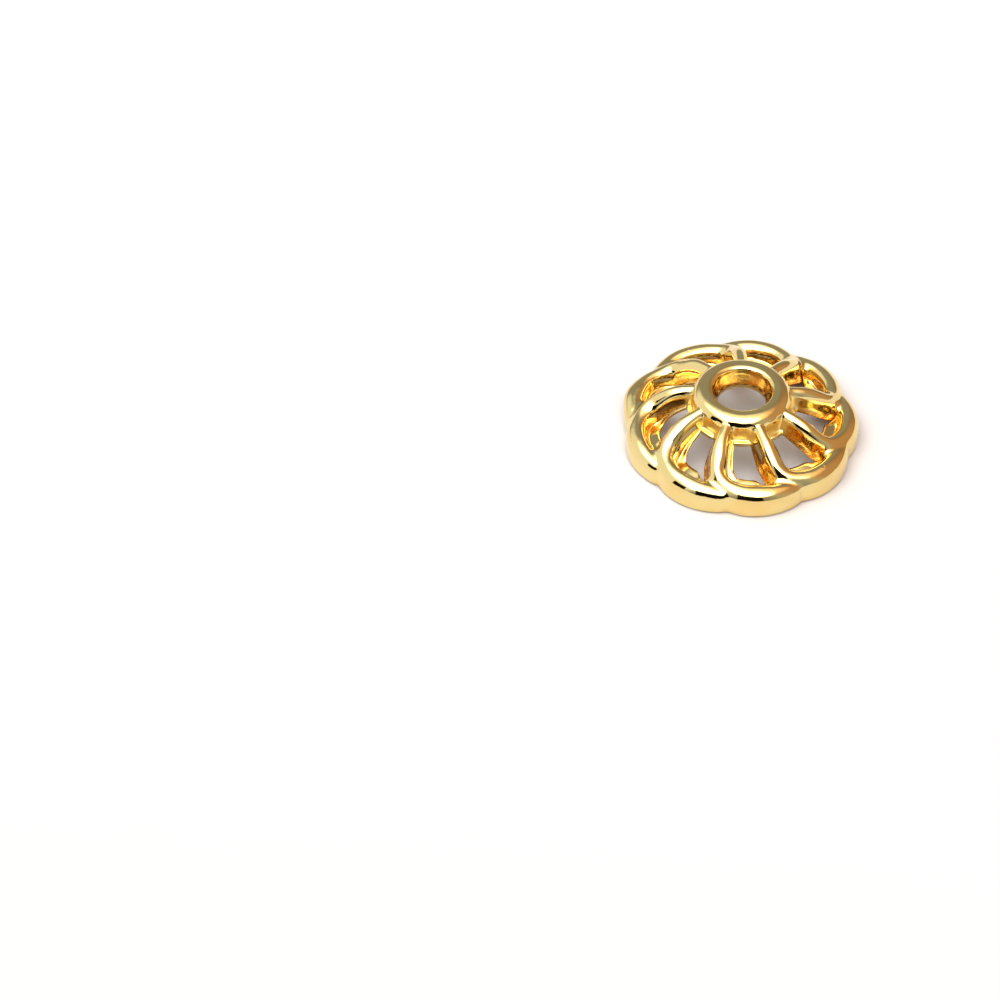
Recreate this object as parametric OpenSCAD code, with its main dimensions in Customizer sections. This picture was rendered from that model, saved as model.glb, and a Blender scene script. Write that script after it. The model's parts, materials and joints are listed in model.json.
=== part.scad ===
/* [Overall] */
// Diameter across the middles of the lobes
outer_d = 10; // [9:0.1:14]
// Height from the foot of the rim to the flat top of the collar
height = 2.8; // [2.6:0.05:4]
// Number of petals, and of holes between them
petals = 9; // [7:1:9]

/* [Hub] */
// Diameter of the thread hole
bore_d = 2; // [1.2:0.05:2.2]
// Rounding of the thread hole's lower edge
bore_edge = 0.12; // [0.04:0.01:0.15]
// Diameter of the tapered well, just under its lip
well_d = 2.54; // [2.3:0.02:2.8]
// Radius of the lip where the flat top turns into the well
lip_r = 0.24; // [0.1:0.01:0.3]
// Diameter of the raised collar
collar_d = 4.06; // [3.8:0.02:4.4]
// Height of the collar above the edge of the plate
collar_h = 0.45; // [0.42:0.01:0.6]
// Radius of the collar's outer shoulder
shoulder_r = 0.34; // [0.1:0.02:0.36]
// Diameter of the plate that the petals spring from
plate_d = 5.2; // [4.8:0.05:5.6]
// Thickness of the plate at its edge
plate_t = 0.48; // [0.35:0.01:0.6]
// Rise of the plate's upper face from its edge to the collar
plate_rise = 0.08; // [0.02:0.01:0.1]

/* [Petals] */
// Width of a petal's bar
bar_w = 0.95; // [0.8:0.01:1.1]
// Depth of the bar below its crown
bar_depth = 1.05; // [0.7:0.01:1.15]
// Rise of the rounded crown above the bar's edges
crown_h = 0.42; // [0.2:0.01:0.45]
// Height of the crown where the bar leaves the collar, below the flat top
root_drop = 0.26; // [0.15:0.01:0.4]
// Height of the crown along the rim
crest_z = 1.3; // [1.15:0.01:1.5]
// Bevel along the lower edge of the bar
under_bevel = 0.16; // [0.05:0.01:0.2]

/* [Rim] */
// Thickness of the wall under the rim
skirt_t = 0.46; // [0.35:0.01:0.6]
// Height of the rim's hollow side above the foot
cove_z = 0.42; // [0.3:0.01:0.55]
// Bevel along the foot of the wall
foot_bevel = 0.12; // [0.05:0.01:0.15]

/* [Hidden] */

pitch = 360 / petals;
crest_r = (outer_d - bar_w) / 2;
plate_z = height - collar_h - plate_t;

// The line of a petal's crown, one row for each station from the collar to the tip
RADIUS = 0; // distance from the axis, as a share of the crest's radius
ANGLE = 1;  // turn from the middle of the lobe, as a share of the pitch
RISE = 2;   // height of the crown, 0 on the rim and 1 at the collar
REACH = 3;  // how far the outer side goes down, 0 with the bar's underside and 1 to the foot
SKEW = 4;   // how far the outer side runs ahead of the middle, in rows
PETAL = [
    [0.390, -0.920, 1.00, 0.00, 0.00],
    [0.520, -0.890, 0.96, 0.00, 0.00],
    [0.655, -0.850, 0.82, 0.00, 0.00],
    [0.767, -0.800, 0.58, 0.10, 0.00],
    [0.862, -0.715, 0.32, 0.50, 0.00],
    [0.932, -0.545, 0.10, 1.00, 0.00],
    [0.980, -0.290, 0.02, 1.00, 0.10],
    [1.000,  0.000, 0.00, 1.00, 0.40],
    [0.983,  0.270, 0.00, 1.00, 0.72],
    [0.950,  0.480, 0.00, 1.00, 0.72],
];
steps = 3;        // rings of the sweep to each row
crown_sides = 8;  // flats across the crown
arc_flats = 6;    // flats of each rounding of the hub
root_lift = 0.03; // step up from the plate to the underside of the bars at their roots
sill = 0.02;      // least drop of a bar's outer side below its underside
stride = 0.01;    // half of the stretch, in rows, over which a heading is taken

// The last ring is a row before the table's end, because its outer side runs on towards that row
last = (len(PETAL) - 2) * steps;
corners = crown_sides + 8;

function mix(a, b, t) = a + (b - a) * t;
function row(i) = PETAL[max(0, min(len(PETAL) - 1, i))];
function spline(a, b, c, d, t) =
    0.5 * (2 * b + (c - a) * t + (2 * a - 5 * b + 4 * c - d) * t * t
    + (3 * b - a - 3 * c + d) * t * t * t);
function station(u) =
    let (i = max(0, min(floor(u), len(PETAL) - 2)))
    spline(row(i - 1), row(i), row(i + 1), row(i + 2), u - i);
function place(u) =
    let (s = station(u), a = s[ANGLE] * pitch)
    crest_r * s[RADIUS] * [cos(a), sin(a)];
function heading(u) = let (d = place(u + stride) - place(u - stride)) d / norm(d);

// Section of a bar: distance across, positive on the outer side, and height
function section(u) =
    let (
        s = station(u),
        half = bar_w / 2,
        top = mix(crest_z, height - root_drop, s[RISE]),
        under = max(top - bar_depth, mix(cove_z, plate_z + root_lift, max(0, s[RISE]))),
        reach = max(0, min(1, s[REACH])),
        foot = mix(under - sill, 0, reach),
        wall = half - mix(bar_w - 2 * under_bevel, skirt_t, reach)
    )
    concat(
        [[half - foot_bevel, foot], [half, foot + foot_bevel]],
        [for (i = [0:crown_sides]) let (a = 180 * i / crown_sides)
            [half * cos(a), top - crown_h + crown_h * sin(a)]],
        [[-half, under + under_bevel], [under_bevel - half, under], [wall, under],
         [wall, foot + foot_bevel / 2], [wall + foot_bevel / 2, foot]]
    );

// Place of the section's corner p on ring i of petal k
function corner(k, i, p) =
    let (
        u = i / steps,
        v = u + station(u)[SKEW] * 2 * p[0] / bar_w,
        c = place(v),
        h = heading(v),
        x = c[0] + h[1] * p[0],
        y = c[1] - h[0] * p[0],
        a = k * pitch
    )
    [x * cos(a) - y * sin(a), x * sin(a) + y * cos(a), p[1]];

// The seam with the tip ends at the ring of the flank whose foot is nearest to the foot of the tip
foot_gaps = [for (i = [0:last])
    norm(corner(1, i, section(i / steps)[1]) - corner(0, last, section(last / steps)[1]))];
seam_end = search(min(foot_gaps), foot_gaps)[0];
// It covers the flank from its foot to the middle of the tip's crown
seam_flats = len([for (p = section(seam_end / steps))
    if (p[0] > bar_w / 4 && p[1] < crest_z - crown_h / 2) p]);
seam_rings = corners / 2 - seam_flats;

// The whole swirl as one skin: each tip is stitched to the outer flank of the next petal
module swirl() {
    function at(k, i, j) = ((k % petals) * (last + 1) + i) * corners + j % corners;
    function in_seam(i, j) = i >= seam_end - seam_rings && i < seam_end && j < seam_flats;
    // Ring and corner of the flank that corner j of a tip is stitched to
    function seam(j) =
        j <= seam_flats ? [seam_end, j]
        : j <= corners / 2 ? [seam_end - (j - seam_flats), seam_flats]
        : j <= corners - seam_rings ? [seam_end - seam_rings, corners - seam_rings - j]
        : [seam_end - (corners - j), 0];
    points = [for (k = [0:petals - 1], i = [0:last], p = section(i / steps)) corner(k, i, p)];
    sides = [for (k = [0:petals - 1], i = [0:last - 1], j = [0:corners - 1]) if (!in_seam(i, j))
        each [[at(k, i, j), at(k, i, j + 1), at(k, i + 1, j)],
              [at(k, i, j + 1), at(k, i + 1, j + 1), at(k, i + 1, j)]]];
    seams = [for (k = [0:petals - 1], j = [0:corners - 1])
        let (p = seam(j), q = seam((j + 1) % corners))
        each [[at(k, last, j), at(k, last, j + 1), at(k + 1, p[0], p[1])],
              [at(k, last, j + 1), at(k + 1, q[0], q[1]), at(k + 1, p[0], p[1])]]];
    roots = [for (k = [0:petals - 1]) [for (j = [corners - 1:-1:0]) at(k, 0, j)]];
    polyhedron(points, concat(sides, seams, roots));
}

// A quarter of a circle, from the angle a0 to a1, round the point c
function arc(c, r, a0, a1) =
    [for (i = [0:arc_flats]) let (a = mix(a0, a1, i / arc_flats)) c + r * [cos(a), sin(a)]];

// Collar, plate, well and thread hole, turned about the axis
module hub() {
    plate_top = height - collar_h;
    rotate_extrude($fn = 96)
        polygon(concat(
            [[plate_d / 2, plate_z], [plate_d / 2, plate_top], [collar_d / 2, plate_top + plate_rise]],
            arc([collar_d / 2 - shoulder_r, height - shoulder_r], shoulder_r, 0, 90),
            arc([well_d / 2 + lip_r, height - lip_r], lip_r, 90, 180),
            [[bore_d / 2, plate_z + plate_t]],
            arc([bore_d / 2 + bore_edge, plate_z + bore_edge], bore_edge, 180, 270)
        ));
}

module bead_cap() {
    color("gold") {
        hub();
        swirl();
    }
}

bead_cap();
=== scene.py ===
# %% [markdown]
# # A cast bead cap
# A bead cap is a small metal finding that sits over the end of a bead. This one is cast in one piece and
# plated in pale gold: nine petals swirl from a raised collar down to a scalloped rim. The frame holds the
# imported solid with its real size. It is faceted, so this script models the same form with smooth
# surfaces, gives it a polished finish, and lights and frames it as the photograph does.

# %% Load the frame
import json
import math

import bmesh
import bpy
from mathutils import Matrix, Vector


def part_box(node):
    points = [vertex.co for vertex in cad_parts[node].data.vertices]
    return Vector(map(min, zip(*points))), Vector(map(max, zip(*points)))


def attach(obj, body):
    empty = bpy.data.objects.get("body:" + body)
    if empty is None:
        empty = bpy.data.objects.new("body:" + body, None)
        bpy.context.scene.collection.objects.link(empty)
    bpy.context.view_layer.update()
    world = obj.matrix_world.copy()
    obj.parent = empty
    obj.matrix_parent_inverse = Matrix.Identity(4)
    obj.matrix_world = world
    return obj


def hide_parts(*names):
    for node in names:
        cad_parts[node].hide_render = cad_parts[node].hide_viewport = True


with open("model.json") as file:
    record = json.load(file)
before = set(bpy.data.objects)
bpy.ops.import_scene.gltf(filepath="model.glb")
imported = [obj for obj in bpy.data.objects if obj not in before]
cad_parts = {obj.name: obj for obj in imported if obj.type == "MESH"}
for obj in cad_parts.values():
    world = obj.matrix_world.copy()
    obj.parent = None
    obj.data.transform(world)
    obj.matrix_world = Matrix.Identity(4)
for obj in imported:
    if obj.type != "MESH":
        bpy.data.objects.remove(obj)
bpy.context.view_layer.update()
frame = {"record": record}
CAP = "bead_cap"
low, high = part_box(CAP)
print("the solid reaches from", tuple(low), "to", tuple(high))

# %% [markdown]
# ## Camera
# The view comes first, because every later choice is judged through it. The camera looks down on the cap
# at 44 degrees from far off, with a long lens, so that the rings keep the ratio of their axes. The cap sits
# to the right of the middle and a little above it, as it does in the photograph.

# %% Camera at the photograph's viewing angle
MM = 0.001
VIEW_AZIMUTH = math.radians(3.2)
VIEW_HEIGHT = math.radians(44.0)
VIEW_ROLL = math.radians(2.0)
VIEW_DISTANCE = 345 * MM
IMAGE_SIZE = 1000
PIXELS_PER_MM = 23.74
CAP_PIXEL = (739.4, 436.8)
SENSOR_WIDTH = 36
CLIP_NEAR, CLIP_FAR = 10 * MM, 10


def place_camera():
    """Puts the camera where the centre of the cap's foot falls on CAP_PIXEL."""
    forward = Vector((math.sin(VIEW_AZIMUTH) * math.cos(VIEW_HEIGHT),
                      math.cos(VIEW_AZIMUTH) * math.cos(VIEW_HEIGHT), -math.sin(VIEW_HEIGHT)))
    level = Vector((math.cos(VIEW_AZIMUTH), -math.sin(VIEW_AZIMUTH), 0))
    upright = level.cross(forward)
    right = level * math.cos(VIEW_ROLL) + upright * math.sin(VIEW_ROLL)
    up = upright * math.cos(VIEW_ROLL) - level * math.sin(VIEW_ROLL)
    across = (CAP_PIXEL[0] - IMAGE_SIZE / 2) / PIXELS_PER_MM * MM
    above = (IMAGE_SIZE / 2 - CAP_PIXEL[1]) / PIXELS_PER_MM * MM
    target = -(right * across + up * above)
    bpy.ops.object.camera_add()
    camera = bpy.context.object
    camera.name = "camera"
    camera.matrix_world = Matrix((
        (right.x, up.x, -forward.x, 0), (right.y, up.y, -forward.y, 0),
        (right.z, up.z, -forward.z, 0), (0, 0, 0, 1)))
    camera.location = target - forward * VIEW_DISTANCE
    camera.data.sensor_width = SENSOR_WIDTH
    camera.data.lens = SENSOR_WIDTH * VIEW_DISTANCE / (IMAGE_SIZE / PIXELS_PER_MM * MM)
    camera.data.clip_start = CLIP_NEAR
    camera.data.clip_end = CLIP_FAR
    bpy.context.scene.camera = camera
    return camera


camera = place_camera()
print("lens", round(camera.data.lens, 1), "mm")

# %% [markdown]
# ## Sizes
# The overall height, the lobes' reach and the thread hole are read from the frame. The rest are the named
# sizes of the casting, in millimetres, as a pattern maker would note them beside a drawing. The hollow of
# the cap follows the bead that it sits on, so the undersides of the bars are worked out from that sphere.

# %% Sizes of the casting, in millimetres
mounts = {m["name"]: m for m in frame["record"]["mounts"]}
HEIGHT = high.z / MM
OUTER_R = round(high.x / MM, 2)
BORE_R = mounts["thread_hole"]["dims"]["r_mm"]
PETALS = 9
PITCH = math.radians(360 / PETALS)
RIM_W = 0.95
CROWN_W, FREE_W, ROOT_W = 0.84, 0.70, 0.62
SET_IN, SET_OUT = 0.155, 0.055
CROWN_H = 0.42
CREST_R = OUTER_R - RIM_W / 2
CREST_Z = 1.3
ROOT_DROP = 0.26
PLATE_Z = 1.83
BEAD_R = 6.0
BEAD_TOP = 1.913


def hollow(radius):
    """Height of the bead's surface at this distance from the axis."""
    return BEAD_TOP - BEAD_R + math.sqrt(BEAD_R ** 2 - radius ** 2)


print("height", HEIGHT, "reach", OUTER_R, "bore radius", BORE_R)

# %% [markdown]
# ## The line of a petal
# Each petal is a bar that leaves the collar, falls and turns into the rim, and tucks its tip against the
# next petal. A maker would draw that line once on the pattern. Here it is a short table of shares, and a
# smooth curve through its rows gives the middle of the bar at any station.

# %% The line of a petal's crown
# Columns: distance from the axis as a share of the crest's radius, turn from the lobe's middle as a share
# of the pitch, height (0 on the rim, 1 at the collar), how far the outer side goes down to the foot, and
# how far the outer side runs ahead of the middle, in rows
PETAL_LINE = [
    (0.390, -0.920, 1.00, 0.00, 0.00),
    (0.520, -0.890, 0.96, 0.00, 0.00),
    (0.655, -0.850, 0.82, 0.00, 0.00),
    (0.767, -0.800, 0.58, 0.10, 0.00),
    (0.862, -0.715, 0.32, 0.50, 0.00),
    (0.932, -0.545, 0.10, 1.00, 0.00),
    (0.980, -0.290, 0.02, 1.00, 0.10),
    (1.000, 0.000, 0.00, 1.00, 0.40),
    (0.983, 0.270, -0.07, 1.00, 0.72),
    (0.950, 0.480, -0.12, 1.00, 0.72),
]
RADIUS, TURN, RISE, REACH, SKEW = range(5)
LINE_END = len(PETAL_LINE) - 1
STRIDE = 0.01


def mix(a, b, t):
    """The value that lies a share t of the way from a to b."""
    return a + (b - a) * t


def share(value, start, end):
    """How far value has come from start to end, kept between 0 and 1."""
    return max(0.0, min(1.0, (value - start) / (end - start)))


def station(u):
    """The table's row at u, which may lie between rows, on a smooth curve through them."""
    i = max(0, min(int(math.floor(u)), LINE_END - 1))
    rows = [PETAL_LINE[max(0, min(LINE_END, i + k))] for k in (-1, 0, 1, 2)]
    t = u - i
    return [0.5 * (2 * b + (c - a) * t + (2 * a - 5 * b + 4 * c - d) * t ** 2
                   + (3 * b - a - 3 * c + d) * t ** 3) for a, b, c, d in zip(*rows)]


def place(u):
    """The middle of the bar at u, seen from above."""
    row = station(u)
    r = CREST_R * row[RADIUS]
    return Vector((r * math.cos(row[TURN] * PITCH), r * math.sin(row[TURN] * PITCH)))


def heading(u):
    """The direction in which the bar runs at u."""
    return (place(u + STRIDE) - place(u - STRIDE)).normalized()


print("the line starts at", [round(c, 2) for c in place(0)], "and ends at",
      [round(c, 2) for c in place(LINE_END)])

# %% [markdown]
# ## The section of a bar
# A bar has a round, polished crown. Its outer side is a deep wall that flares a little, so that the casting
# leaves the mould, and becomes the outer wall of the rim. Its inner side drops to a thin lip that stands out
# into the hole, where the two halves of the mould met. Twenty corners describe all of it: five on the outer
# wall, seven on the crown, three on the lip and five underneath.

# %% Outer wall and underside
CORNERS = 20
CROWN_FIRST, CROWN_LAST = 5, 11
LIP_FOOT, LIP_EDGE, LIP_UNDER = 12, 13, 14
# Between these rows the bar grows to its full width, broadens into the rim, widens its lip for the tip, and
# dips beside the tip that lies against it. The last pair runs backward, so the dip fades out
GROWS, BROADENS, TUCKS = (0.8, 2.5), (3.2, 6.0), (6.8, 8.0)
DIPS, RISES_AGAIN = (3.4, 4.0), (5.9, 5.3)

# The outer wall of a free bar starts on the underside, this far across. Its other corners have a share of
# the flare and a height above the bar's underside
FREE_WALL_FOOT = 0.22
FREE_WALL = [(1.0, 0.05), (0.9, 0.13), (0.55, 0.25), (0.28, 0.40)]
FLARE_ROOT, FLARE = 0.14, 0.24
# The outer wall of the rim: distance from the crown's edge and height above the foot
RIM_WALL = [(-0.085, 0.012), (-0.01, 0.12), (0, 0.32), (0, 0.52), (0, 0.70)]
# The underside: distance across, and height above the bar's underside or, on the rim, above the foot
FREE_BELOW = [(-0.45, 0.03), (-0.28, 0), (-0.12, -0.01), (0, -0.01), (0.11, 0)]
RIM_BELOW = [(-0.60, 0.50), (-0.38, 0.33), (-0.16, 0.15), (0, 0.03), (0.20, 0)]
BEAD_GAP = 0.03


def blend(free, rim, reach):
    """Corners that lie a share reach of the way from those of a free bar to those of the rim."""
    return [(mix(a[0], b[0], reach), mix(a[1], b[1], reach)) for a, b in zip(free, rim)]


def outer_wall(outer, flare, under, reach):
    """The five corners below the crown's outer edge."""
    free = [(FREE_WALL_FOOT, under)] + [(outer + flare * part, under + up) for part, up in FREE_WALL]
    return blend(free, [(outer + across, up) for across, up in RIM_WALL], reach)


def underside(under, reach):
    """The five corners that face the bead."""
    return blend([(across, under + up) for across, up in FREE_BELOW], RIM_BELOW, reach)


print("outer wall", len(outer_wall(0, 0, 0, 0)), "corners, underside", len(underside(0, 0)), "corners")

# %% Crown, lip and the whole section
LEAN, CREST_IN = 0.06, 0.03
VALLEY = 0.09
LIP_ROOT, LIP_FREE, LIP_RIM = 0.13, 0.25, 0.54
LIP_TUCK = 0.05
LIP_Z, LIP_UP, LIP_T = 0.76, 0.16, 0.11
LIP_SET_IN, LIP_BEND, LIP_DRAFT = 0.03, 0.06, 0.01


def crown(middle, half, edge, broad, dip):
    """The seven corners of the round crown, which leans outward and dips at its second corner."""
    corners = []
    for i in range(CROWN_LAST - CROWN_FIRST + 1):
        angle = math.pi * i / (CROWN_LAST - CROWN_FIRST)
        across = middle + half * math.cos(angle) - CREST_IN * broad * math.sin(angle)
        corners.append((across, edge - LEAN * broad * math.cos(angle) + CROWN_H * math.sin(angle)))
    corners[1] = (corners[1][0], corners[1][1] - dip)
    return corners


def lip(inner, width, height):
    """The three corners of the thin lip that stands out into the hole."""
    return [(inner - LIP_SET_IN, height - LIP_BEND), (inner - width, height + LIP_BEND),
            (inner - width + LIP_DRAFT, height - LIP_T)]


def section(u):
    """Corners of the bar at u: distance across, positive on the outer side, and height above the foot."""
    row = station(u)
    reach = share(row[REACH], 0, 1)
    grown, broad = share(u, *GROWS), share(u, *BROADENS)
    edge = mix(CREST_Z, HEIGHT - ROOT_DROP, row[RISE]) - CROWN_H
    under = hollow(CREST_R * row[RADIUS]) + BEAD_GAP
    half = mix(mix(ROOT_W, FREE_W, grown), CROWN_W, broad) / 2
    middle = mix(-SET_IN, SET_OUT, broad)
    dip = VALLEY * (share(u, *DIPS) * share(u, *RISES_AGAIN))
    lip_width = mix(mix(LIP_ROOT, LIP_FREE, grown), LIP_RIM, reach) + LIP_TUCK * share(u, *TUCKS)
    return (outer_wall(middle + half, mix(FLARE_ROOT, FLARE, grown), under, reach)
            + crown(middle, half, edge, broad, dip)
            + lip(middle - half, lip_width, mix(under + LIP_UP, LIP_Z, reach))
            + underside(under, reach))


free_bar = section(3)
print("a free bar is", round(free_bar[CROWN_FIRST][0] - free_bar[CROWN_LAST][0], 2), "mm wide at its crown")

# %% [markdown]
# ## From the line to a corner
# The middle of the bar turns sharply where it joins the rim. The outer side can follow it, but a thin lip on
# the inner side of such a bend would fold over itself. A carver lets the tool take that bend wider, and so
# does this step: the further in a corner lies, the longer the stretch of the line that it is averaged over.

# %% The place of a corner
# Rows over which a corner far in is averaged, before and after its own; the distances inward between which
# the averaging sets in; and the rows over which it starts
EASE = 3.0
EASE_ACROSS = (0.2, 0.6)
EASE_ROWS = (1.2, 3.0)
EASE_POINTS = 41
EASE_PARTS = [2 * (i + 1) / (EASE_POINTS + 1) - 1 for i in range(EASE_POINTS)]
EASE_WEIGHTS = [1 - abs(part) for part in EASE_PARTS]


def beside(u, across):
    """The point beside the bar's middle at u, seen from above."""
    v = min(u + station(u)[SKEW] * max(2 * across / RIM_W, -1), LINE_END)
    return place(v) + Vector((heading(v).y, -heading(v).x)) * across


def corner(u, j, turn=0.0):
    """Place of the section's corner j at u, in metres, on the petal turned about the axis by turn."""
    across, height = section(u)[j]
    stretch = EASE * share(-across, *EASE_ACROSS) * share(u, *EASE_ROWS)
    total = Vector((0, 0))
    for part, weight in zip(EASE_PARTS, EASE_WEIGHTS):
        total += beside(u + stretch * part, across) * weight
    x, y = total / sum(EASE_WEIGHTS)
    turned = (x * math.cos(turn) - y * math.sin(turn), x * math.sin(turn) + y * math.cos(turn))
    return Vector((*turned, height)) * MM


print("a lobe reaches", round(corner(7, 2).xy.length / MM, 2), "mm from the axis")

# %% [markdown]
# ## Working helpers
# Every piece is worked as by hand: corners are picked by their number and dragged with the translate
# operator. An operator acts on all that is selected, so each helper first lets go of everything else.

# %% Picking and dragging
def deselect():
    """Lets go of everything, in edit mode or among the objects."""
    if bpy.context.object and bpy.context.object.mode == "EDIT":
        bpy.ops.mesh.select_all(action="DESELECT")
    else:
        bpy.ops.object.select_all(action="DESELECT")


def pick(indices, kind="verts"):
    """Selects corners, edges or faces of the mesh in edit mode by their numbers."""
    bpy.ops.mesh.select_all(action="DESELECT")
    edit = bmesh.from_edit_mesh(bpy.context.object.data)
    items = getattr(edit, kind)
    items.ensure_lookup_table()
    for i in indices:
        items[i].select_set(True)
    edit.select_flush_mode()
    bmesh.update_edit_mesh(bpy.context.object.data)


def drag(index, goal):
    """Drags one corner to its goal."""
    pick([index])
    edit = bmesh.from_edit_mesh(bpy.context.object.data)
    edit.verts.ensure_lookup_table()
    bpy.ops.transform.translate(value=goal - edit.verts[index].co)


def crease(paths, weight):
    """Keeps the edges along these rows of corner numbers crisp when the skin is smoothed."""
    pairs = {frozenset(pair) for path in paths for pair in zip(path, path[1:])}
    edit = bmesh.from_edit_mesh(bpy.context.object.data)
    numbers = [e.index for e in edit.edges if frozenset(v.index for v in e.verts) in pairs]
    bpy.ops.mesh.select_mode(type="EDGE")
    pick(numbers, "edges")
    bpy.ops.transform.edge_crease(value=weight)
    bpy.ops.mesh.select_mode(type="VERT")


# %% [markdown]
# ## Where a bar meets its neighbours
# A bar starts on the side of the collar and ends against the flank of the next petal. Both places are
# windows cut out of a finished surface, with as many corners round them as the bar has, so the bar can be
# sewn on corner by corner and the smoothed skin runs on without a gap.

# %% Where the bar starts, on the collar
SEAT_STATION = 0.5
seat_middle = place(SEAT_STATION)
seat_angle = math.atan2(seat_middle.y, seat_middle.x)
# Columns: distance from the axis, height, and distance across from the bar's middle
SEAT = [
    (1.92, 1.82, 0.16), (2.08, 1.57, 0.27), (2.24, 1.54, 0.33), (2.28, 1.74, 0.33), (2.10, 1.80, 0.28),
    (2.08, 2.12, 0.16), (2.07, 2.34, 0.10), (2.06, 2.49, -0.01), (2.03, 2.56, -0.155), (2.06, 2.49, -0.30),
    (2.07, 2.34, -0.42), (2.08, 2.12, -0.465), (2.10, 1.79, -0.49), (2.29, 1.74, -0.58),
    (2.25, 1.54, -0.57), (2.08, 1.57, -0.47), (1.92, 1.82, -0.32), (1.90, 1.84, -0.20),
    (1.90, 1.84, -0.08), (1.90, 1.84, 0.04),
]


def seat(j, turn=0.0):
    """Where corner j of the first ring sits on the side of the collar, in metres."""
    radius, height, across = SEAT[j]
    angle = seat_angle - across / radius + turn
    return Vector((radius * math.cos(angle), radius * math.sin(angle), height)) * MM


print("the bar starts", round(math.degrees(seat_angle), 1), "degrees round, with", len(SEAT), "corners")

# %% Where the bar ends, on the next petal
# The rings lie at these rows of the line: listed one by one near the collar, and three to a row after that
ROOT_STATIONS = [0.95, 1.3, 1.65, 2.0, 2.35, 2.68]
RIM_START, RIM_STATIONS, STEP = 3, 16, 1 / 3
stations = ROOT_STATIONS + [RIM_START + STEP * i for i in range(RIM_STATIONS)]
# The window in the flank: stations of the rim before it, and how many rings and corners it takes
SEAM_AFTER, SEAM_RINGS, SEAM_CORNERS = 3, 4, 6
seam_first = len(ROOT_STATIONS) + SEAM_AFTER


def seam(j):
    """The corner on the next petal's flank that corner j of a tip is sewn to."""
    if j <= SEAM_CORNERS:
        i, k = SEAM_RINGS, j
    elif j <= SEAM_CORNERS + SEAM_RINGS:
        i, k = SEAM_RINGS + SEAM_CORNERS - j, SEAM_CORNERS
    elif j <= 2 * SEAM_CORNERS + SEAM_RINGS:
        i, k = 0, 2 * SEAM_CORNERS + SEAM_RINGS - j
    else:
        i, k = SEAM_RINGS + j - CORNERS, 0
    return corner(stations[seam_first + i], k, PITCH)


def ring(i):
    """Corners of ring i of the bar, in metres. The first sits on the collar and the last on the seam."""
    if i == 0:
        return [seat(j) for j in range(CORNERS)]
    if i == len(stations) + 1:
        return [seam(j) for j in range(CORNERS)]
    return [corner(stations[i - 1], j) for j in range(CORNERS)]


bar = [ring(i) for i in range(len(stations) + 2)]
print(len(bar), "rings of", CORNERS, "corners")

# %% [markdown]
# ## Fairing the lip
# Drawn ring by ring, a lip this thin has small kinks, as any line through single points has. A pattern maker
# takes them out by fairing: each point moves a little toward the two beside it, a few times over. At the
# tip, the inner side and the underside then run straight to the seam, because a bulge there would cut into
# the next petal.

# %% Fair the lip and the tip
LIP_PASSES = 6
LIP_LINES = range(LIP_FOOT, LIP_UNDER + 3)
TIP_RINGS = 3


def fair_lip(rings):
    """Draws the lines of the lip smooth: each corner moves toward its neighbours in the rings beside it."""
    for _ in range(LIP_PASSES):
        for j in LIP_LINES:
            line = [corners[j] for corners in rings]
            for i in range(2, len(rings) - 1):
                rings[i][j] = (line[i - 1] + 2 * line[i] + line[i + 1]) / 4


def straighten_tip(rings):
    """Runs the tip's inner side and underside straight to the seam, clear of the next petal."""
    start, end = len(rings) - 2 - TIP_RINGS, len(rings) - 1
    for j in range(LIP_EDGE, CORNERS):
        for i in range(start + 1, end):
            rings[i][j] = rings[start][j].lerp(rings[end][j], (i - start) / (end - start))


fair_lip(bar)
straighten_tip(bar)
print("the lip's edge runs from", [round(c / MM, 2) for c in bar[1][LIP_EDGE]], "to",
      [round(c / MM, 2) for c in bar[-1][LIP_EDGE]])

# %% [markdown]
# ## The first petal
# A carver would cut one petal and judge it before cutting the other eight. Here a circle of twenty corners
# is dragged into the first ring and extruded from ring to ring. Some lines along the bar are creased, which
# keeps them crisp when the skin is rounded later: the two edges of the crown and the thin lip.

# %% Extrude the first petal
# The corners of the first ring on either side of the bar, where it leaves the collar
COLLAR_SIDES = [range(3, 8), range(9, 14)]


def along(j, first, end):
    """Numbers of the corners along line j of the bar, from ring first to the one before end."""
    return [i * CORNERS + j for i in range(first, end)]


def crease_bar():
    """Creases the lines along the bar, and its two sides on the collar."""
    rim = seam_first + SEAM_RINGS
    tip = len(stations) - 1
    crease([along(CROWN_FIRST, 0, seam_first)], 0.8)
    crease([along(CROWN_FIRST, rim, tip)], 0.25)
    crease([along(CROWN_LAST, 0, tip)], 0.7)
    crease(COLLAR_SIDES, 0.6)
    crease([along(LIP_FOOT, 0, tip)], 0.5)
    crease([along(LIP_EDGE, 0, tip), along(LIP_UNDER, 0, tip)], 0.75)


def petal():
    """Draws the section on a circle of twenty corners, then extrudes it ring by ring."""
    deselect()
    bpy.ops.mesh.primitive_circle_add(vertices=CORNERS, radius=RIM_W / 2 * MM)
    piece = bpy.context.object
    piece.name = "petal"
    bpy.ops.object.mode_set(mode="EDIT")
    for i, goals in enumerate(bar):
        if i:
            pick(range((i - 1) * CORNERS, i * CORNERS))
            bpy.ops.mesh.extrude_region_move()
        for j, goal in enumerate(goals):
            drag(i * CORNERS + j, goal)
    crease_bar()
    bpy.ops.object.mode_set(mode="OBJECT")
    return piece


petal_piece = petal()
print("petal:", len(petal_piece.data.vertices), "corners,", len(petal_piece.data.polygons), "faces")

# %% [markdown]
# ## Collar, plate and thread hole
# The middle of the cap is a turned shape: a raised collar with a rounded lip, a tapered well, a short
# thread hole, a flat plate underneath and a narrow step round the outside at the mouth of each hole. Its
# section is drawn once, on a circle of corners that is dragged into the outline, and spun through one ninth
# of a turn: first through the width of a bar, then through the gap beside it.

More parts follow.
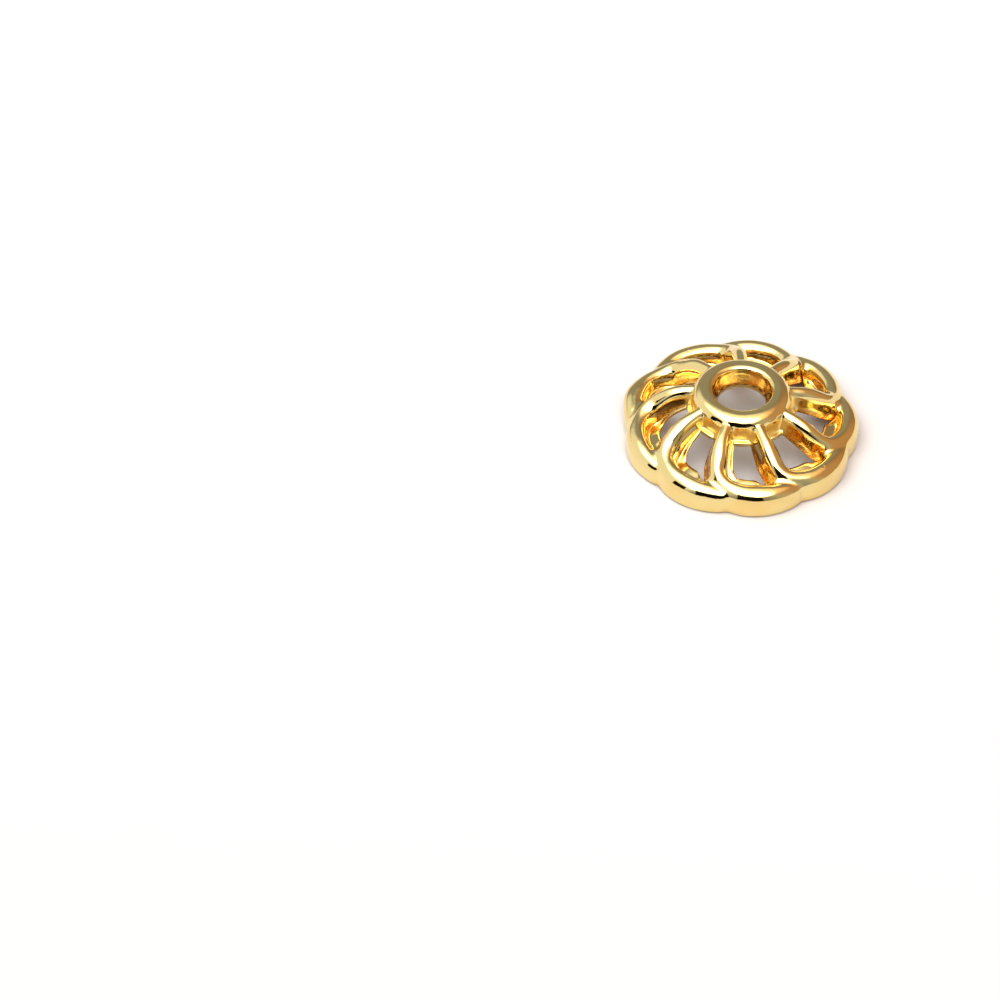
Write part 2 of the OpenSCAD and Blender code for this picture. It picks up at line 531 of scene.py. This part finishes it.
# %% Section of the middle
COLLAR_R, COLLAR_SHOULDER = 2.065, 0.46
WELL_R, WELL_ROUND = 1.24, 0.19
BORE_LOW = PLATE_Z + 0.12
BORE_HIGH = PLATE_Z + 0.40
BORE_MIDDLE = (BORE_LOW + BORE_HIGH) / 2
COLLAR_FLAT = (COLLAR_R - COLLAR_SHOULDER + WELL_R + WELL_ROUND) / 2


def rounding(center, radius, degrees):
    """Points on a rounding's arc, at these angles."""
    return [(center[0] + radius * math.cos(math.radians(d)), center[1] + radius * math.sin(math.radians(d)))
            for d in degrees]


# The underside of the plate and the step below the collar
middle_section = [(BORE_R + 0.13, PLATE_Z), (1.5, PLATE_Z), (1.9, PLATE_Z - 0.02), (2.08, 1.58),
                  (2.26, 1.54), (2.30, 1.79)]
# The side of the collar, its shoulder and its flat top
middle_section += [(2.07, 1.77), (2.07, 2.15), (COLLAR_R, 2.46)]
middle_section += rounding((COLLAR_R - COLLAR_SHOULDER, HEIGHT - COLLAR_SHOULDER), COLLAR_SHOULDER,
                           (24, 46, 68, 90))
middle_section += [(COLLAR_FLAT, HEIGHT)]
# The rounding into the well, the tapered well and the thread hole
middle_section += rounding((WELL_R + WELL_ROUND, HEIGHT - WELL_ROUND), WELL_ROUND, (90, 112, 135, 158, 180))
middle_section += [(1.19, HEIGHT - WELL_ROUND - 0.12), (BORE_R + 0.06, BORE_HIGH), (BORE_R, BORE_MIDDLE),
                   (BORE_R, BORE_LOW), (BORE_R + 0.035, PLATE_Z + 0.035)]
print(len(middle_section), "corners in the section of the middle")

# %% Spin one ninth of the middle
SEAT_SPAN, SEAT_SHIFT = math.radians(23.7), math.radians(3.2)
SPAN_STEPS, GAP_STEPS = 4, 4


def middle():
    """One ninth of the middle, spun from its section through the width of a bar and then the gap."""
    deselect()
    n = len(middle_section)
    bpy.ops.mesh.primitive_circle_add(vertices=n, radius=COLLAR_R * MM)
    piece = bpy.context.object
    piece.name = "middle"
    bpy.ops.object.mode_set(mode="EDIT")
    start = seat_angle + SEAT_SHIFT - SEAT_SPAN / 2
    for j, (radius, height) in enumerate(middle_section):
        drag(j, Vector((radius * math.cos(start), radius * math.sin(start), height)) * MM)
    bpy.ops.mesh.select_all(action="SELECT")
    for span, steps in ((SEAT_SPAN, SPAN_STEPS), (PITCH - SEAT_SPAN, GAP_STEPS)):
        bpy.ops.mesh.spin(steps=steps, angle=span, center=(0, 0, 0), axis=(0, 0, -1))
    return piece


middle_piece = middle()
print("middle:", (SPAN_STEPS + GAP_STEPS) * len(middle_section), "faces")

# %% [markdown]
# ## The window for a bar
# The bar's first ring has twenty corners, so the faces that it covers on the collar are cut out along twenty
# corners too. Dragging those onto the ring's places before the cut makes the two rows lie on each other. In
# the gaps between the bars, the edges of the step below the collar are creased, where they show.

# %% Cut the window
SEAT_ROW, SEAT_TOP = 2, 8
# Rows of the middle that are creased in the gap: the step's lower edge and the foot of the shoulder, and the
# step's upper edge and the foot of the collar
SOFT_EDGES, CRISP_EDGES = (4, 8), (5, 6)


def cut_patch(numbers):
    """Cuts out the faces whose corners are all among these."""
    patch = set(numbers)
    edit = bmesh.from_edit_mesh(bpy.context.object.data)
    faces = [f.index for f in edit.faces if all(v.index in patch for v in f.verts)]
    bpy.ops.mesh.select_mode(type="FACE")
    pick(faces, "faces")
    bpy.ops.mesh.delete(type="FACE")
    bpy.ops.mesh.select_mode(type="VERT")
    return len(faces)


def seat_number(j):
    """Number of the middle's corner that corner j of the bar's first ring sits on."""
    rows, columns = SEAT_TOP - SEAT_ROW, SPAN_STEPS
    if j <= rows:
        column, row = 0, SEAT_ROW + j
    elif j <= rows + columns:
        column, row = j - rows, SEAT_TOP
    elif j <= 2 * rows + columns:
        column, row = columns, SEAT_TOP - (j - rows - columns)
    else:
        column, row = CORNERS - j, SEAT_ROW
    return column * len(middle_section) + row


def across_gap(row):
    """Numbers of the corners along one row of the middle, in the gap beside the bar."""
    return [c * len(middle_section) + row for c in range(SPAN_STEPS, SPAN_STEPS + GAP_STEPS + 1)]


for j in range(CORNERS):
    drag(seat_number(j), seat(j))
for j in range(SEAT_TOP - SEAT_ROW + 1):
    drag(seat_number(j) + (SPAN_STEPS + GAP_STEPS) * len(middle_section), seat(j, PITCH))
crease([across_gap(row) for row in SOFT_EDGES], 0.5)
crease([across_gap(row) for row in CRISP_EDGES], 0.9)
window = [c * len(middle_section) + r for c in range(SPAN_STEPS + 1) for r in range(SEAT_ROW, SEAT_TOP + 1)]
print("cut out", cut_patch(window), "faces for the bar's end")
bpy.ops.object.mode_set(mode="OBJECT")

# %% [markdown]
# ## The whole cap
# The flank of each petal is cut out where the next tip tucks against it. Then the ninth is copied round the
# axis and the corners that meet are merged, so that the cap becomes one closed skin like the casting.

# %% Open the flank
def open_flank(piece):
    """Cuts out the faces of the flank that the tip beside it is sewn to."""
    deselect()
    piece.select_set(True)
    bpy.context.view_layer.objects.active = piece
    bpy.ops.object.mode_set(mode="EDIT")
    rings = range(seam_first + 1, seam_first + SEAM_RINGS + 2)
    count = cut_patch([i * CORNERS + j for i in rings for j in range(SEAM_CORNERS + 1)])
    bpy.ops.object.mode_set(mode="OBJECT")
    return count


print("opened", open_flank(petal_piece), "faces of the flank")

# %% Join, copy round and merge
MERGE = 0.002 * MM


def join(pieces):
    """Makes one object of the pieces, under the first one."""
    deselect()
    for piece in pieces:
        piece.select_set(True)
    bpy.context.view_layer.objects.active = pieces[0]
    bpy.ops.object.join()
    return pieces[0]


def copy_round():
    """Copies the ninth round the axis and merges the corners that meet."""
    bpy.ops.object.mode_set(mode="EDIT")
    bpy.ops.mesh.select_all(action="SELECT")
    for k in range(1, PETALS):
        bpy.ops.mesh.duplicate()
        bpy.ops.transform.rotate(value=-PITCH, orient_axis="Z", center_override=(0, 0, 0))
    bpy.ops.mesh.select_all(action="SELECT")
    bpy.ops.mesh.remove_doubles(threshold=MERGE)
    bpy.ops.mesh.normals_make_consistent(inside=False)
    bpy.ops.object.mode_set(mode="OBJECT")


def measure(piece):
    """Prints how large the mesh is and whether it is closed."""
    mesh = bmesh.new()
    mesh.from_mesh(piece.data)
    print(piece.name, "has", len(mesh.verts), "corners,", len(mesh.faces), "faces,",
          sum(not e.is_manifold for e in mesh.edges), "open edges and a volume of",
          round(mesh.calc_volume() / MM ** 3, 2), "cubic millimetres")
    mesh.free()


cap = join([petal_piece, middle_piece])
cap.name = "cast_cap"
copy_round()
measure(cap)

# %% [markdown]
# ## The hand in the pattern
# The petals were carved by hand in the pattern, so no two are quite alike. One lobe reaches further out, one
# crown is broader, and the others are up or down by a few hundredths of a millimetre. A pull on one corner
# that takes its surroundings along gives each of them its own shape.

# %% Pull the petals out of true
# Columns: direction from the axis in degrees, distance from it and height of the corner that is pulled; how
# far it goes outward, sideways and up; and how far the pull reaches
PULLS = [
    (160, 4.6, 0.9, 0.14, 0.00, 0.00, 1.3), (150, 3.9, 1.1, 0.12, 0.00, 0.02, 0.9),
    (-36, 4.0, 1.0, -0.12, 0.02, 0.00, 0.8), (-80, 4.0, 1.0, -0.07, 0.00, 0.00, 0.9),
    (-98, 3.2, 2.0, 0.00, 0.04, 0.02, 0.7), (-128, 3.9, 1.5, 0.03, -0.03, 0.03, 0.8),
    (30, 4.4, 1.3, -0.04, 0.03, 0.03, 1.1), (72, 4.5, 1.2, 0.05, 0.00, -0.03, 1.0),
    (112, 4.4, 1.3, -0.03, 0.03, 0.03, 1.0), (-150, 4.5, 1.3, 0.02, 0.04, -0.03, 1.0),
    (-4, 4.5, 1.3, 0.03, -0.03, 0.02, 1.0), (-55, 3.2, 1.9, 0.00, 0.05, -0.02, 0.7),
    (-15, 3.1, 2.0, 0.00, -0.04, 0.03, 0.7),
]


def pull(angle, radius, height, outward, sideways, up, reach):
    """Pulls the corner nearest to a point and takes its surroundings along."""
    a = math.radians(angle)
    out, side = Vector((math.cos(a), math.sin(a), 0)), Vector((-math.sin(a), math.cos(a), 0))
    point = (out * radius + Vector((0, 0, height))) * MM
    mesh = bmesh.from_edit_mesh(bpy.context.object.data)
    pick([min(mesh.verts, key=lambda v: (v.co - point).length).index])
    move = (out * outward + side * sideways + Vector((0, 0, up))) * MM
    bpy.ops.transform.translate(value=move, use_proportional_edit=True, proportional_edit_falloff="SMOOTH",
                                proportional_size=reach * MM)


bpy.ops.object.mode_set(mode="EDIT")
for row in PULLS:
    pull(*row)
bpy.ops.object.mode_set(mode="OBJECT")
print("pulled", len(PULLS), "places out of true")

# %% [markdown]
# ## The smooth skin
# The cage has few corners, so that each one could be placed by hand. Tumbling rounds a casting in much the
# same way as subdivision rounds a cage, with the creased edges kept tighter than the rest. Two rounds leave
# no flats that the eye could find, and the skin is then made real geometry.

# %% Round the skin
ROUNDS = 2


def smooth(piece):
    """Rounds the cage into the smooth skin of the casting."""
    modifier = piece.modifiers.new("rounding", "SUBSURF")
    modifier.levels = ROUNDS
    modifier.render_levels = ROUNDS
    bpy.ops.object.modifier_apply(modifier=modifier.name)
    bpy.ops.object.shade_smooth()


smooth(cap)
measure(cap)

# %% [markdown]
# ## The metal
# The cap is cast in brass, tumbled with small stones and plated in pale gold. Tumbling polishes what the
# stones can reach: the crowns, the collar and the outer wall. The sides of the holes and the underside keep
# the skin of the mould, so they are rougher, pitted and deeper in colour. That deeper colour is partly their
# own and partly painted shade and painted bounced light. How far a spot stands out of the bead's sphere
# tells how well the stones reached it. That and whether it faces up drive the finish, and with it where the
# shade is painted.

# %% Node helpers
def new_material(name):
    """A material and its shader."""
    material = bpy.data.materials.new(name)
    material.use_nodes = True
    return material, material.node_tree.nodes["Principled BSDF"]


def node(material, kind, inputs=None, **settings):
    """Adds a node, sets its options, and fills or links its inputs by name or number."""
    made = material.node_tree.nodes.new(kind)
    for key, value in settings.items():
        setattr(made, key, value)
    for key, value in (inputs or {}).items():
        if isinstance(value, bpy.types.NodeSocket):
            material.node_tree.links.new(value, made.inputs[key])
        else:
            made.inputs[key].default_value = value
    return made


def between(material, value, least, most, start=0.0, end=1.0):
    """Maps value smoothly from least..most to start..end."""
    inputs = {"Value": value, "From Min": least, "From Max": most, "To Min": start, "To Max": end}
    return node(material, "ShaderNodeMapRange", inputs, interpolation_type="SMOOTHSTEP").outputs["Result"]


def noise(material, where, size, detail=2.0, roughness=0.5):
    """A cloudy pattern whose spots are about this large, in metres."""
    inputs = {"Vector": where, "Scale": 1 / size, "Detail": detail, "Roughness": roughness}
    return node(material, "ShaderNodeTexNoise", inputs).outputs["Fac"]


def math_node(material, operation, a, b):
    """One sum of two numbers, such as ADD or MAXIMUM."""
    return node(material, "ShaderNodeMath", {0: a, 1: b}, operation=operation).outputs["Value"]


def blend_colour(material, share_of_b, a, b):
    """A colour that lies this share of the way from a to b."""
    inputs = {"Factor": share_of_b, "A": a, "B": b}
    return node(material, "ShaderNodeMix", inputs, data_type="RGBA").outputs["Result"]


# %% What the tumbling reached, and where shade is painted
# How far a spot stands out of the bead's sphere, give or take a cloudy pattern, and how far it faces up,
# from untouched to polished. The same ranges take the colour from painted shade to pale gold
STANDS_OUT = (0.18 * MM, 0.62 * MM)
UNEVEN, UNEVEN_SIZE = 0.16 * MM, 0.35 * MM
FACES_UP = (0.35, 0.75)
# Distances from the axis over which the side of the collar ends, and the bore with its share of polish,
# which also paints the bore darker as shade
COLLAR_SIDE = (2.33 * MM, 2.48 * MM)
BORE_SIDE = (1.14 * MM, 1.24 * MM)
BORE_POLISH = 0.45
# Heights over which the duller panels on the side of the collar end
PANEL_TOP = (2.25 * MM, 2.45 * MM)


def from_the_bead(metal, where):
    """How far each spot stands out of the bead's sphere."""
    bead_middle = (0, 0, (BEAD_TOP - BEAD_R) * MM)
    far = node(metal, "ShaderNodeVectorMath", {0: where, 1: bead_middle}, operation="DISTANCE")
    clear = math_node(metal, "SUBTRACT", far.outputs["Value"], BEAD_R * MM)
    patchy = noise(metal, where, UNEVEN_SIZE, detail=3)
    return math_node(metal, "ADD", clear, math_node(metal, "MULTIPLY", patchy, UNEVEN))


def from_the_axis(metal, where):
    """How far each spot is from the axis of the thread hole."""
    flat = node(metal, "ShaderNodeVectorMath", {0: where, 1: (1, 1, 0)}, operation="MULTIPLY")
    inputs = {0: flat.outputs["Vector"]}
    return node(metal, "ShaderNodeVectorMath", inputs, operation="LENGTH").outputs["Value"]


def tumbling_and_shade(metal, where):
    """Three masks: polished, which also sets where shade is painted; smooth; and the panels under the
    collar.
    """
    stands_out = between(metal, from_the_bead(metal, where), *STANDS_OUT)
    normal = node(metal, "ShaderNodeTexCoord").outputs["Normal"]
    upward = node(metal, "ShaderNodeSeparateXYZ", {0: normal}).outputs["Z"]
    # Facing up counts here, so this mask also paints up-facing spots pale and the rest darker, as shade.
    reached_and_lit = math_node(metal, "MAXIMUM", stands_out, between(metal, upward, *FACES_UP))
    from_axis = from_the_axis(metal, where)
    collar_side = between(metal, from_axis, *COLLAR_SIDE, 1.0, 0.0)
    reached_and_lit = math_node(metal, "MAXIMUM", reached_and_lit, collar_side)
    outside_bore = between(metal, from_axis, *BORE_SIDE, BORE_POLISH, 1.0)
    polished_and_lit = math_node(metal, "MULTIPLY", reached_and_lit, outside_bore)
    in_bore = math_node(metal, "SUBTRACT", 1.0, outside_bore)
    smoothed = math_node(metal, "MAXIMUM", polished_and_lit, in_bore)
    height = node(metal, "ShaderNodeSeparateXYZ", {0: where}).outputs["Z"]
    below_collar = between(metal, height, *PANEL_TOP, 1.0, 0.0)
    panel = math_node(metal, "MULTIPLY", collar_side, below_collar)
    return polished_and_lit, smoothed, math_node(metal, "MULTIPLY", panel, outside_bore)


print("polished from", round(STANDS_OUT[1] / MM, 2), "mm clear of the bead's sphere")

# %% [markdown]
# ## Colour, gloss and relief
# A metal's colour tints what it mirrors. It is pale where the metal is polished, and a darker orange with
# brown stains in the holes and underneath. That orange is partly the mould's skin, and partly painted shade
# and painted light bounced from wall to wall. The relief has three scales: a faint waviness that bends the
# reflections, a few small dents from the stones, and the fine pits of the mould's skin, which the stones
# have nearly worn away wherever they came.

# %% Colour of the plating
POLISHED = (0.79, 0.64, 0.285, 1)
WARM = (0.79, 0.585, 0.22, 1)
# The raw colour is the mould's orange skin, painted darker to stand for the shade and bounced light in the
# holes and underneath. The tarnish is its brown stains.
RAW_AND_SHADE = (0.70, 0.37, 0.08, 1)
TARNISH = (0.46, 0.19, 0.03, 1)
# The size of each cloudy pattern, the values over which it sets in, and how strong the stains get
TINT_SIZE, TINT_FROM = 1.4 * MM, (0.35, 0.75)
STAIN_SIZE, STAIN_FROM, STAIN_MOST = 0.12 * MM, (0.46, 0.66), 0.8


def colour(metal, where, polished_and_lit):
    """Pale gold on what is polished, and elsewhere the mould's orange skin with its stains, painted darker
    as shade and bounced light.
    """
    tint = between(metal, noise(metal, where, TINT_SIZE), *TINT_FROM)
    bright = blend_colour(metal, tint, POLISHED, WARM)
    stain = between(metal, noise(metal, where, STAIN_SIZE, detail=4), *STAIN_FROM, 0.0, STAIN_MOST)
    raw_and_shade = blend_colour(metal, stain, RAW_AND_SHADE, TARNISH)
    return blend_colour(metal, polished_and_lit, raw_and_shade, bright)


print("polished gold mirrors", POLISHED[:3], "of red, green and blue light, and raw metal", RAW_AND_SHADE[:3])

# %% Gloss of the plating
# The size of each cloudy pattern, the values over which it sets in, and the roughness from least to most
HAZE_SIZE, HAZE_FROM, HAZE = 0.5 * MM, (0.3, 0.8), (0.045, 0.10)
GRAIN_SIZE, GRAIN_FROM, GRAIN = 0.07 * MM, (0.3, 0.7), (0.20, 0.36)
PANEL_ROUGH = 0.32


def roughness(metal, where, smoothed, panel):
    """A faint haze on what is smooth, a grain on what isn't, and an even dullness on the panels."""
    haze = between(metal, noise(metal, where, HAZE_SIZE, detail=4), *HAZE_FROM, *HAZE)
    grain = between(metal, noise(metal, where, GRAIN_SIZE, detail=3), *GRAIN_FROM, *GRAIN)
    rough = node(metal, "ShaderNodeMix", {"Factor": smoothed, "A": grain, "B": haze}).outputs["Result"]
    return math_node(metal, "MAXIMUM", rough, math_node(metal, "MULTIPLY", panel, PANEL_ROUGH))


print("roughness from", HAZE[0], "where polished to", GRAIN[1], "in the holes")

# %% Relief of the plating
RIPPLE_SIZE, RIPPLE_DEPTH = 0.7 * MM, 0.018 * MM
DENT_APART, DENT_SIZE, DENT_DEPTH = 0.75 * MM, 0.09 * MM, 0.004 * MM
# The flat middle of a dent, as a share of its cell, and the share of cells with a dent
DENT_FLAT, DENTED = 0.05, 0.45
# The share of the pits' depth that polishing leaves, and how smooth the metal is where it comes to that
PIT_SIZE, PIT_DEPTH, PIT_LEFT, PIT_GONE = 0.10 * MM, 0.015 * MM, 0.04, 0.8


def dents(metal, where):
    """The height of small round dents, in fewer than half of the cells of a loose pattern."""
    cells = node(metal, "ShaderNodeTexVoronoi", {"Vector": where, "Scale": 1 / DENT_APART})
    dent = between(metal, cells.outputs["Distance"], DENT_FLAT, DENT_SIZE / DENT_APART)
    chance = node(metal, "ShaderNodeSeparateColor", {0: cells.outputs["Color"]}).outputs[0]
    return math_node(metal, "MAXIMUM", dent, between(metal, chance, DENTED, DENTED + 0.01))


def relief(metal, where, smoothed):
    """The surface's direction, with ripples and dents all over and pits where it isn't smooth."""
    ripple = noise(metal, where, RIPPLE_SIZE, detail=2, roughness=0.4)
    inputs = {"Height": ripple, "Distance": RIPPLE_DEPTH}
    rippled = node(metal, "ShaderNodeBump", inputs).outputs["Normal"]
    inputs = {"Height": dents(metal, where), "Distance": DENT_DEPTH, "Normal": rippled}
    dented = node(metal, "ShaderNodeBump", inputs).outputs["Normal"]
    pits = noise(metal, where, PIT_SIZE, detail=3, roughness=0.6)
    depth = between(metal, smoothed, 0.0, PIT_GONE, PIT_DEPTH, PIT_DEPTH * PIT_LEFT)
    inputs = {"Height": pits, "Distance": depth, "Normal": dented}
    return node(metal, "ShaderNodeBump", inputs).outputs["Normal"]


print("ripples", round(RIPPLE_DEPTH / MM, 3), "mm and pits", round(PIT_DEPTH / MM, 3), "mm deep")

# %% The plating on the cap
def plating():
    """The whole finish, on a plain metal shader."""
    metal, shader = new_material("pale_gold_plating")
    where = node(metal, "ShaderNodeTexCoord").outputs["Object"]
    polished_and_lit, smoothed, panel = tumbling_and_shade(metal, where)
    links = metal.node_tree.links
    # The colour follows the polish mask, so it also paints the shade in the holes and underneath.
    links.new(colour(metal, where, polished_and_lit), shader.inputs["Base Color"])
    links.new(roughness(metal, where, smoothed, panel), shader.inputs["Roughness"])
    links.new(relief(metal, where, smoothed), shader.inputs["Normal"])
    shader.inputs["Metallic"].default_value = 1.0
    return metal


gold = plating()
cap.data.materials.clear()
cap.data.materials.append(gold)
print("material:", gold.name, "with", len(gold.node_tree.nodes), "nodes")

# %% [markdown]
# ## The table
# Polished metal shows its surroundings more than its own colour, so the surroundings are set out like a
# small product studio. The cap stands on white paper, which also throws light up into the holes. The paper
# is large, so that it fills the picture, and matt, so that it doesn't mirror the lights.

# %% White table
TABLE_SIZE = 1.2
TABLE_WHITE = (0.585, 0.565, 0.56, 1)


def white_table():
    """A wide sheet of paper under the foot of the cap."""
    deselect()
    bpy.ops.mesh.primitive_plane_add(size=TABLE_SIZE, location=(0, 0, 0))
    table = bpy.context.object
    table.name = "table"
    paper, shader = new_material("white_paper")
    shader.inputs["Base Color"].default_value = TABLE_WHITE
    shader.inputs["Roughness"].default_value = 0.7
    shader.inputs["Specular IOR Level"].default_value = 0.2
    table.data.materials.append(paper)
    return table


table = white_table()
print("the table is", round(table.dimensions.x, 2), "m wide")

# %% [markdown]
# ## Light
# Lamps would show in the metal with hard edges, so the soft boxes are patches of a grey sky that fade out:
# overhead, in front and at both sides. At the right the air is warm, as beside a wooden wall. A patch is
# worked out from the angle between a point of the sky and the middle of the box.

# %% Soft boxes as smooth patches of a grey sky
AIR = 0.36
# Columns: azimuth from the camera's side toward the right and elevation, in degrees; how far the patch stays
# bright and where it ends, in degrees from its middle; and how bright it is. The boxes are overhead, high
# in front, at the left, high at the left and at the right
SOFT_BOXES = [
    (-20, 78, 28, 52, 1.30),
    (-14, 60, 26, 40, 2.9),
    (-88, 30, 36, 56, 0.72),
    (-100, 62, 8, 26, 1.2),
    (85, 30, 15, 60, 0.30),
]
# The first four columns for the side where the air is warm, and its colour beside that of the rest
WARM_SIDE = (106, 26, 22, 62)
WARM_AIR = (0.90, 0.55, 0.32, 1)
PLAIN_AIR = (1, 1, 1, 1)


def direction(azimuth, elevation):
    """Unit vector toward this azimuth, in degrees from the camera's side toward the right, and elevation."""
    a, e = math.radians(azimuth), math.radians(elevation)
    return Vector((math.sin(a) * math.cos(e), -math.cos(a) * math.cos(e), math.sin(e)))


def patch(world, toward, azimuth, elevation, full, end, strength=1.0):
    """A round patch of the sky that has this strength in its middle and fades to nothing at its end."""
    inputs = {0: toward, 1: direction(azimuth, elevation)}
    closeness = node(world, "ShaderNodeVectorMath", inputs, operation="DOT_PRODUCT").outputs["Value"]
    fades, whole = math.cos(math.radians(end)), math.cos(math.radians(full))
    return between(world, closeness, fades, whole, 0, strength)


def sky():
    """The grey air of the studio with the soft boxes in it."""
    world = bpy.data.worlds.new("air")
    bpy.context.scene.world = world
    world.use_nodes = True
    toward = node(world, "ShaderNodeTexCoord").outputs["Generated"]
    background = world.node_tree.nodes["Background"]
    light = AIR
    for box in SOFT_BOXES:
        light = math_node(world, "ADD", patch(world, toward, *box), light)
    world.node_tree.links.new(light, background.inputs["Strength"])
    warm = blend_colour(world, patch(world, toward, *WARM_SIDE), PLAIN_AIR, WARM_AIR)
    world.node_tree.links.new(warm, background.inputs["Color"])
    return world


air = sky()
bpy.context.scene.view_settings.view_transform = "Standard"
print("soft boxes:", len(SOFT_BOXES), "in", air.name)

# %% [markdown]
# ## Dark cards
# Studio pictures of polished metal get their crisp dark marks from black cards beside the camera, which the
# metal mirrors. Two cards stand in front and at the left, low enough to stay out of the picture. They are
# far off, so that they take hardly any light from the table.

# %% Stand the cards
BLACK = (0.01, 0.01, 0.01, 1)
# Columns: name, azimuth as above, and distance from the cap, width and height in metres
CARDS = [
    ("low_card", -8, 0.150, 0.137, 0.108),
    ("left_card", -60, 0.148, 0.060, 0.072),
]


def card(name, azimuth, distance, width, height):
    """A standing card that faces the cap, out of the picture."""
    deselect()
    bpy.ops.mesh.primitive_plane_add(size=1, location=direction(azimuth, 0) * distance)
    made = bpy.context.object
    made.name = name
    made.location.z = height / 2
    made.rotation_euler = (math.radians(90), 0, math.radians(azimuth))
    made.scale = (width, height, 1)
    bpy.ops.object.transform_apply(location=False, rotation=True, scale=True)
    cloth, shader = new_material(name + "_cloth")
    shader.inputs["Base Color"].default_value = BLACK
    shader.inputs["Roughness"].default_value = 1.0
    shader.inputs["Specular IOR Level"].default_value = 0.0
    made.data.materials.append(cloth)
    return made


cards = [card(*row) for row in CARDS]
print("cards:", [made.name for made in cards])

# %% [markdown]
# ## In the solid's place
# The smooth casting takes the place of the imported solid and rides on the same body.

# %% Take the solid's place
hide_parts(CAP)
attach(cap, "root")
